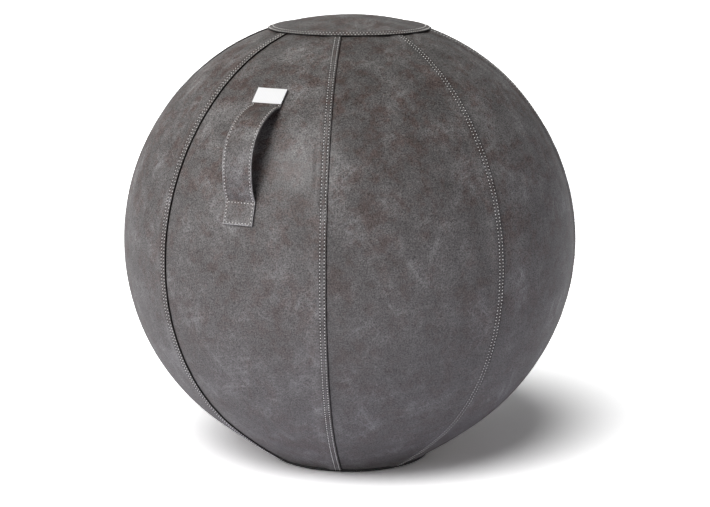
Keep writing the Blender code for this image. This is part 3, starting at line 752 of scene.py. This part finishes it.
def satin_ribbon():
    # Woven polyester satin: bright white, with fine lengthwise threads that give it a soft sheen.
    # The real threads are about 0.2 mm apart; they are drawn at 2.5 mm, so that they show
    material, tree, shader = new_material("white_satin_ribbon", roughness=0.5)
    place = add_node(tree, "ShaderNodeTexCoord").outputs["Object"]
    threads = {"Vector": place, "Scale": bands_per_metre(2.5), "Distortion": 0.4}
    thread = add_node(tree, "ShaderNodeTexWave", threads).outputs["Fac"]
    whites = {"Factor": thread, "A": linear("F2F2F0"), "B": linear("F6F6F5")}
    colour = add_node(tree, "ShaderNodeMix", whites, data_type="RGBA")
    bump = add_node(tree, "ShaderNodeBump", {"Strength": 0.15, "Distance": 0.0001, "Height": thread})
    tree.links.new(colour.outputs["Result"], shader.inputs["Base Color"])
    tree.links.new(bump.outputs["Normal"], shader.inputs["Normal"])
    return material


label_mesh = strap_layer(STRAP_THICKNESS + LABEL_LIFT, 0.0, STRAP_TOP_POLAR, LABEL_END_POLAR, LABEL_ROWS)
label = add_piece("label_ribbon", label_mesh, satin_ribbon())
add_wall(label, LABEL_THICKNESS, outward=True, rounding=LABEL_EDGE)
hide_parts("handle_label")


# The base ring keeps the cover round and gives the ball a flat foot: a plastic core, bent to a ring, inside a
# sleeve of black coated canvas that is sewn to the gores' hems.
ring_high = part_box("base_ring_sleeve")[1]
RING_WIDTH = 0.0127
RING_OUTER = ring_high.x
RING_INNER = RING_OUTER - RING_WIDTH
RING_HEIGHT = ring_high.z
RING_FILLET = 0.003
RING_TURNS = 200
FILLET_STEPS = 6
SLEEVE = 0.0012
SLEEVE_SLOT = 0.002
SLEEVE_EDGE = 0.0002


def canvas(name, hex_colour, hex_worn, round_ring=False):
    # Plain-weave polyester canvas with a dull coating: nearly black, with the weave as a fine relief that is
    # rubbed paler on top. The real threads are 0.5 mm apart; they are drawn at 2 mm, so that they show
    material, tree, shader = new_material(name, roughness=0.8)
    place = add_node(tree, "ShaderNodeTexCoord").outputs["Object"]
    if round_ring:
        at = add_node(tree, "ShaderNodeSeparateXYZ", {"Vector": place}).outputs
        angle = add_node(tree, "ShaderNodeMath", {0: at["X"], 1: at["Y"]}, operation="ARCTAN2").outputs[0]
        length = add_node(tree, "ShaderNodeMath", {0: angle, 1: RING_OUTER}, operation="MULTIPLY").outputs[0]
        place = add_node(tree, "ShaderNodeCombineXYZ", {"X": length, "Y": at["Z"]}).outputs["Vector"]
    threads = {"Vector": place, "Scale": bands_per_metre(2.0)}
    warp = add_node(tree, "ShaderNodeTexWave", threads, bands_direction="X").outputs["Fac"]
    weft = add_node(tree, "ShaderNodeTexWave", threads, bands_direction="Y").outputs["Fac"]
    weave = add_node(tree, "ShaderNodeMath", {0: warp, 1: weft}, operation="MULTIPLY").outputs[0]
    patches = {"Vector": place, "Scale": per_metre(25), "Detail": 3.0}
    rubbed = add_node(tree, "ShaderNodeTexNoise", patches).outputs["Fac"]
    shown = add_node(tree, "ShaderNodeMath", {0: weave, 1: rubbed}, operation="MULTIPLY").outputs[0]
    blacks = {"Factor": shown, "A": linear(hex_colour), "B": linear(hex_worn)}
    colour = add_node(tree, "ShaderNodeMix", blacks, data_type="RGBA")
    bump = add_node(tree, "ShaderNodeBump", {"Strength": 0.5, "Distance": 0.0002, "Height": weave})
    tree.links.new(colour.outputs["Result"], shader.inputs["Base Color"])
    tree.links.new(bump.outputs["Normal"], shader.inputs["Normal"])
    return material


def fillet(middle, start):
    """Quarter round about a middle point, from that angle clockwise."""
    angles = spread(start, start - math.pi / 2, FILLET_STEPS)
    return [(middle[0] + RING_FILLET * math.cos(a), middle[1] + RING_FILLET * math.sin(a)) for a in angles]


ring_middle = (RING_OUTER + RING_INNER) / 2
near, far = RING_INNER + RING_FILLET, RING_OUTER - RING_FILLET
low, high = RING_FILLET, RING_HEIGHT - RING_FILLET
sleeve_path = [(ring_middle + SLEEVE_SLOT / 2, RING_HEIGHT)]
sleeve_path += fillet((far, high), math.pi / 2) + fillet((far, low), 0.0)
sleeve_path += fillet((near, low), -math.pi / 2) + fillet((near, high), math.pi)
sleeve_path += [(ring_middle - SLEEVE_SLOT / 2, RING_HEIGHT)]
ring_canvas = canvas("black_canvas_ring", "161515", "2A2828", round_ring=True)
sleeve = add_piece("ring_sleeve", turned(sleeve_path, RING_TURNS), ring_canvas)
add_wall(sleeve, SLEEVE, rounding=SLEEVE_EDGE)
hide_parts("base_ring_sleeve")
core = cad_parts["base_ring_core"]
core.data.materials.clear()
core.data.materials.append(smooth_plastic("extruded_black_plastic", "2B2A2A", "353434", roughness=0.5))


# The base panel closes the cover under the ball: two half discs of black canvas with the zip's slit between
# them, which butt together beyond the zip's ends.
panel_low, panel_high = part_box("base_panel_right")
zip_low, zip_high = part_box("zip_tape_right")
PANEL_RADIUS = panel_high.x
PANEL_THICKNESS = panel_high.z - panel_low.z
PANEL_SEGMENTS = 192
ZIP_SLIT = panel_low.x
BUTT_GAP = 0.0002


def cut_through(bm, at, facing, clear=False):
    """Cuts a mesh in two along a plane; the part behind it goes if clear is set."""
    everything = bm.verts[:] + bm.edges[:] + bm.faces[:]
    bmesh.ops.bisect_plane(bm, geom=everything, plane_co=at, plane_no=facing, clear_inner=clear)


def in_slit(face):
    """Whether a face of the base panel lies where the zip goes."""
    at = face.calc_center_median()
    return abs(at.x) < ZIP_SLIT and zip_low.y < at.y < zip_high.y


base_canvas = canvas("black_canvas_base", "1B1A1A", "2C2A2A")
for name, side in (("base_canvas_right", 1.0), ("base_canvas_left", -1.0)):
    bm = bmesh.new()
    bmesh.ops.create_circle(bm, cap_ends=True, segments=PANEL_SEGMENTS, radius=PANEL_RADIUS)
    cut_through(bm, (side * BUTT_GAP, 0, 0), (side, 0, 0), clear=True)
    cut_through(bm, (side * ZIP_SLIT, 0, 0), (side, 0, 0))
    cut_through(bm, (0, zip_low.y, 0), (0, 1, 0))
    cut_through(bm, (0, zip_high.y, 0), (0, 1, 0))
    bmesh.ops.delete(bm, geom=[face for face in bm.faces if in_slit(face)], context="FACES")
    bmesh.ops.translate(bm, verts=bm.verts, vec=(0.0, 0.0, panel_high.z))
    half = add_piece(name, bm, base_canvas)
    add_wall(half, PANEL_THICKNESS)
    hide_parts(name.replace("canvas", "panel"))


# The zip is a moulded resin chain on two woven tapes, sewn under the slit of the base panel, with a stop at
# each end. Its teeth interlock, and every edge of the mouldings is slightly rounded.
TAPE_EDGE = 0.0001
TAPE_ROW = 0.0092
TAPE_COLUMNS = 8
TAPE_STEPS = 80
TOOTH_ROUNDING = 0.00018
FACET_ANGLE = math.radians(1.0)
SHARP_ANGLE = math.radians(30.0)
CHAINS = ("zip_chain_left", "zip_chain_right")
STOPS = ("zip_top_stop_left", "zip_top_stop_right", "zip_bottom_stop")


def rounded_copy(node, rounding):
    """Mesh of a CAD piece with its flat facets joined and its edges rounded."""
    bm = bmesh.new()
    bm.from_mesh(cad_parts[node].data)
    bmesh.ops.remove_doubles(bm, verts=bm.verts, dist=MERGE_DISTANCE)
    bmesh.ops.dissolve_limit(bm, angle_limit=FACET_ANGLE, verts=bm.verts, edges=bm.edges)
    bmesh.ops.bevel(
        bm,
        geom=[edge for edge in bm.edges if edge.is_manifold and edge.calc_face_angle() > SHARP_ANGLE],
        offset=rounding,
        affect="EDGES",
        segments=2,
        profile=0.5,
        material=-1,
        clamp_overlap=True,
    )
    return bm


def sew_tape(bm, side):
    """Sews a row along the underside of a tape, that far from the zip's middle."""

    def path(share):
        return Vector((side, zip_low.y + (zip_high.y - zip_low.y) * share, zip_low.z))

    def up(share):
        return Vector((0.0, 0.0, -1.0))

    sew(bm, path, up)


def moulded_resin():
    # Acetal resin straight from the mould: black, smooth and fairly glossy, with faint flow marks
    material, tree, shader = new_material("black_acetal_resin", roughness=0.35)
    place = add_node(tree, "ShaderNodeTexCoord").outputs["Object"]
    marks = {"Vector": place, "Scale": per_metre(3.0), "Detail": 3.0}
    flow = add_node(tree, "ShaderNodeTexNoise", marks).outputs["Fac"]
    levels = {"Value": flow, "From Min": 0.3, "From Max": 0.7, "To Min": 0.28, "To Max": 0.45}
    gloss = add_node(tree, "ShaderNodeMapRange", levels)
    blacks = {"Factor": flow, "A": linear("141313"), "B": linear("222020")}
    colour = add_node(tree, "ShaderNodeMix", blacks, data_type="RGBA")
    tree.links.new(colour.outputs["Result"], shader.inputs["Base Color"])
    tree.links.new(gloss.outputs["Result"], shader.inputs["Roughness"])
    return material


tape_cloth = canvas("black_zip_tape", "1E1C1D", "302E2F")
for name in ("zip_tape_left", "zip_tape_right"):
    tape_low, tape_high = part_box(name)
    tape_cut = (tape_high.x - tape_low.x, tape_high.y - tape_low.y)
    middle = (tape_low + tape_high) / 2
    bm = bmesh.new()
    bmesh.ops.create_grid(bm, x_segments=TAPE_COLUMNS, y_segments=TAPE_STEPS, size=0.5)
    bmesh.ops.scale(bm, vec=(*tape_cut, 1.0), verts=bm.verts)
    bmesh.ops.translate(bm, verts=bm.verts, vec=(middle.x, middle.y, tape_high.z))
    tape = add_piece(name.replace("zip_", "woven_"), bm, tape_cloth)
    add_wall(tape, tape_high.z - tape_low.z, rounding=TAPE_EDGE)
    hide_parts(name)
    half = name.replace("zip_tape", "base_canvas")
resin = moulded_resin()
for name in CHAINS + STOPS:
    rounded = rounded_copy(name, TOOTH_ROUNDING)
    moulding = add_piece(name.replace("zip_", "moulded_"), rounded, resin)
    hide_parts(name)
dark_thread = sewing_thread("black_polyester_thread", "1C1B1B", "2A2929")
tape_rows = bmesh.new()
for side in (-TAPE_ROW, TAPE_ROW):
    sew_tape(tape_rows, side)
add_piece("tape_thread", tape_rows, dark_thread)


# The slider and its pull are die-cast zinc with a dark lacquer. The slider's bail holds the pull's end bar,
# so the pull flips over.
SLIDER_ROUNDING = 0.0002


def dark_zinc():
    # Lacquered zinc die casting: dark grey metal, satin, rubbed brighter in small spots
    material, tree, shader = new_material("dark_lacquered_zinc", roughness=0.35, metallic=1.0)
    place = add_node(tree, "ShaderNodeTexCoord").outputs["Object"]
    spots = {"Vector": place, "Scale": per_metre(4.0), "Detail": 4.0}
    rubbed = add_node(tree, "ShaderNodeTexNoise", spots).outputs["Fac"]
    bright = add_node(tree, "ShaderNodeMapRange", {"Value": rubbed, "From Min": 0.5, "From Max": 0.75})
    greys = {"Factor": bright.outputs["Result"], "A": linear("444342"), "B": linear("6E6C69")}
    colour = add_node(tree, "ShaderNodeMix", greys, data_type="RGBA")
    levels = {"Value": rubbed, "From Min": 0.3, "From Max": 0.7, "To Min": 0.3, "To Max": 0.42}
    gloss = add_node(tree, "ShaderNodeMapRange", levels)
    tree.links.new(colour.outputs["Result"], shader.inputs["Base Color"])
    tree.links.new(gloss.outputs["Result"], shader.inputs["Roughness"])
    return material


zinc = dark_zinc()
for name, node, body in (("cast_slider", "zip_slider", "slider"), ("cast_pull", "zip_pull", "pull")):
    casting = add_piece(name, rounded_copy(node, SLIDER_ROUNDING), zinc, body)
    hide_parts(node)


# The studio: white paper without edges, with a lamp of its own and exposed until it goes white around the
# shadow. A large key light and a low fill from the left and front are flagged off the paper, a low side light
# from the left reaches both, and the surround is dim.
VIEW_AZIMUTH = math.radians(27.9)
VIEW_ELEVATION = math.radians(11.0)
VIEW_DISTANCE = 3.25
LENS = 113.9
FRAME_SHIFT = (0.0079, -0.0226)
SURROUND = 0.06
FLOOR_SIZE = 40.0
FLOOR_DROP = 0.0002
FLOOR_BOUNCE = "E5E5FF"
FLOOR_SHOWN = 2.4
FLOOR_GLOW = 0.03
BOUNCE_GLOW = 0.19
# Each light: degrees to the right of the camera and up, its strength, its softness in degrees, and its flag.
# EXCLUDE keeps a light off the paper, and INCLUDE lets it reach the paper alone
LIGHTS = (
    ("key_light", -33.0, 44.0, 1.95, 26.0, "EXCLUDE"),
    ("fill_light", -28.0, 11.0, 0.5, 45.0, "EXCLUDE"),
    ("side_light", -75.0, 8.0, 1.0, 60.0, None),
    ("paper_light", -24.0, 54.0, 2.25, 42.0, "INCLUDE"),
)


def background_rays(tree):
    """1 for a ray that shows the background: straight from the camera, or mirrored or seen through glass."""
    path = add_node(tree, "ShaderNodeLightPath").outputs
    direct = {0: path["Is Camera Ray"], 1: path["Is Glossy Ray"]}
    shown = add_node(tree, "ShaderNodeMath", direct, operation="MAXIMUM").outputs[0]
    through = {0: shown, 1: path["Is Transmission Ray"]}
    return add_node(tree, "ShaderNodeMath", through, operation="MAXIMUM").outputs[0]


def white_floor():
    # Seamless white paper: matt, and shown so bright that only the shadow is left on it
    material = bpy.data.materials.new("white_paper_floor")
    material.use_nodes = True
    tree = material.node_tree
    tree.nodes.clear()
    seen = background_rays(tree)
    shown = [FLOOR_SHOWN, FLOOR_SHOWN, FLOOR_SHOWN, 1.0]
    tones = {"Factor": seen, "A": linear(FLOOR_BOUNCE), "B": shown}
    tone = add_node(tree, "ShaderNodeMix", tones, data_type="RGBA")
    paper = add_node(tree, "ShaderNodeBsdfDiffuse", {"Color": tone.outputs["Result"]})
    levels = {"Value": seen, "To Min": BOUNCE_GLOW, "To Max": FLOOR_GLOW}
    level = add_node(tree, "ShaderNodeMapRange", levels)
    glow = add_node(tree, "ShaderNodeEmission", {"Strength": level.outputs["Result"]})
    lit_paper = add_node(tree, "ShaderNodeAddShader", {0: paper.outputs["BSDF"], 1: glow.outputs["Emission"]})
    add_node(tree, "ShaderNodeOutputMaterial", {"Surface": lit_paper.outputs["Shader"]})
    return material


floor_mesh = bmesh.new()
bmesh.ops.create_grid(floor_mesh, x_segments=1, y_segments=1, size=FLOOR_SIZE / 2)
bmesh.ops.translate(floor_mesh, verts=floor_mesh.verts, vec=(0.0, 0.0, cad_low.z - FLOOR_DROP))
floor_data = bpy.data.meshes.new("floor")
floor_mesh.to_mesh(floor_data)
floor_mesh.free()
floor_data.materials.append(white_floor())
floor = bpy.data.objects.new("floor", floor_data)
bpy.context.scene.collection.objects.link(floor)

world = bpy.data.worlds.new("pale_surround")
bpy.context.scene.world = world
world.use_nodes = True
sky = world.node_tree
sky.nodes.clear()
white = add_node(sky, "ShaderNodeBackground", {"Color": linear("FFFFFF"), "Strength": 1.0})
ambient = add_node(sky, "ShaderNodeBackground", {"Color": linear("FFFFFF"), "Strength": SURROUND})
backgrounds = {0: background_rays(sky), 1: ambient.outputs["Background"], 2: white.outputs["Background"]}
around = add_node(sky, "ShaderNodeMixShader", backgrounds)
add_node(sky, "ShaderNodeOutputWorld", {"Surface": around.outputs["Shader"]})

to_right = Vector((math.cos(VIEW_AZIMUTH), math.sin(VIEW_AZIMUTH), 0.0))
to_back = Vector((-math.sin(VIEW_AZIMUTH), math.cos(VIEW_AZIMUTH), 0.0))
for name, right, above, strength, softness, flagging in LIGHTS:
    azimuth = math.radians(right)
    elevation = math.radians(above)
    level = to_right * -math.sin(azimuth) + to_back * math.cos(azimuth)
    way = level * math.cos(elevation) - Vector((0.0, 0.0, math.sin(elevation)))
    light_data = bpy.data.lights.new(name, "SUN")
    light_data.energy = strength
    light_data.angle = math.radians(softness)
    light = bpy.data.objects.new(name, light_data)
    light.rotation_euler = way.to_track_quat("-Z", "Y").to_euler()
    bpy.context.scene.collection.objects.link(light)
    if flagging:
        flag = bpy.data.collections.new(f"{name}_flag")
        flag.objects.link(floor)
        flag.collection_objects[0].light_linking.link_state = flagging
        light.light_linking.receiver_collection = flag

camera_data = bpy.data.cameras.new("camera")
camera_data.lens = LENS
camera_data.shift_x, camera_data.shift_y = FRAME_SHIFT
camera = bpy.data.objects.new("camera", camera_data)
camera_out = -to_back * math.cos(VIEW_ELEVATION) + Vector((0.0, 0.0, math.sin(VIEW_ELEVATION)))
camera.location = CENTRE + camera_out * VIEW_DISTANCE
camera.rotation_euler = (-camera_out).to_track_quat("-Z", "Y").to_euler()
bpy.context.scene.collection.objects.link(camera)
bpy.context.scene.camera = camera
bpy.context.scene.view_settings.view_transform = "Standard"
